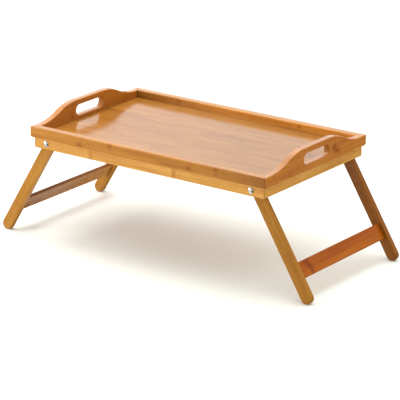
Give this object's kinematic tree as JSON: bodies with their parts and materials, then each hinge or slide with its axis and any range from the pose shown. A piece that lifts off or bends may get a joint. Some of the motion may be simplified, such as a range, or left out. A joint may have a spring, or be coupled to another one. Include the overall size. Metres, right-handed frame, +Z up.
{
  "type": "bed tray table",
  "caption": "Shallow rectangular bamboo tray with hand holds in raised end panels, on splayed leg frames with crossbars that fold flat underneath, for meals or work in bed.",
  "frame": {"origin": "centre of the footprint, on the surface the feet stand on", "axes": "+X along the tray's length, +Y from the front rail to the back rail, +Z up"},
  "size_m": [0.6638, 0.306, 0.2316],
  "materials": {
    "bamboo_board": "gloss lacquer",
    "bamboo_rim": "satin lacquer",
    "bamboo_end_panel": "satin lacquer",
    "bamboo_apron": "satin lacquer",
    "bamboo_leg": "satin lacquer",
    "bamboo_crossbar": "satin lacquer",
    "beech_dowel": "bare wood",
    "polished_steel": "polished",
    "zinc_steel": "zinc plated",
    "nylon_washer": "matt"
  },
  "bodies": {
    "tray": {"tray_board": "bamboo_board", "front_rim_rail": "bamboo_rim", "back_rim_rail": "bamboo_rim", "left_end_panel": "bamboo_end_panel", "right_end_panel": "bamboo_end_panel", "front_apron_rail": "bamboo_apron", "back_apron_rail": "bamboo_apron", "left_apron_rail": "bamboo_apron", "right_apron_rail": "bamboo_apron", "rim_corner_pins": "zinc_steel", "apron_corner_dowels": "beech_dowel", "apron_screws": "zinc_steel", "pivot_sleeve_nuts": "polished_steel", "pivot_screws": "zinc_steel", "leg_spacer_washers": "nylon_washer", "pivot_screw_washers": "zinc_steel"},
    "left_leg_frame": {"left_front_leg": "bamboo_leg", "left_back_leg": "bamboo_leg", "left_crossbar": "bamboo_crossbar", "left_crossbar_dowels": "beech_dowel"},
    "right_leg_frame": {"right_front_leg": "bamboo_leg", "right_back_leg": "bamboo_leg", "right_crossbar": "bamboo_crossbar", "right_crossbar_dowels": "beech_dowel"}
  },
  "joints": [
    {"name": "left_legs_fold", "type": "hinge", "parent": "tray", "child": "left_leg_frame", "pos_m": [-0.218, 0, 0.18089], "axis": [0, -1, 0], "range_deg": [0, 121.3]},
    {"name": "right_legs_fold", "type": "hinge", "parent": "tray", "child": "right_leg_frame", "pos_m": [0.218, 0, 0.18089], "axis": [0, 1, 0], "range_deg": [0, 121.3]}
  ]
}
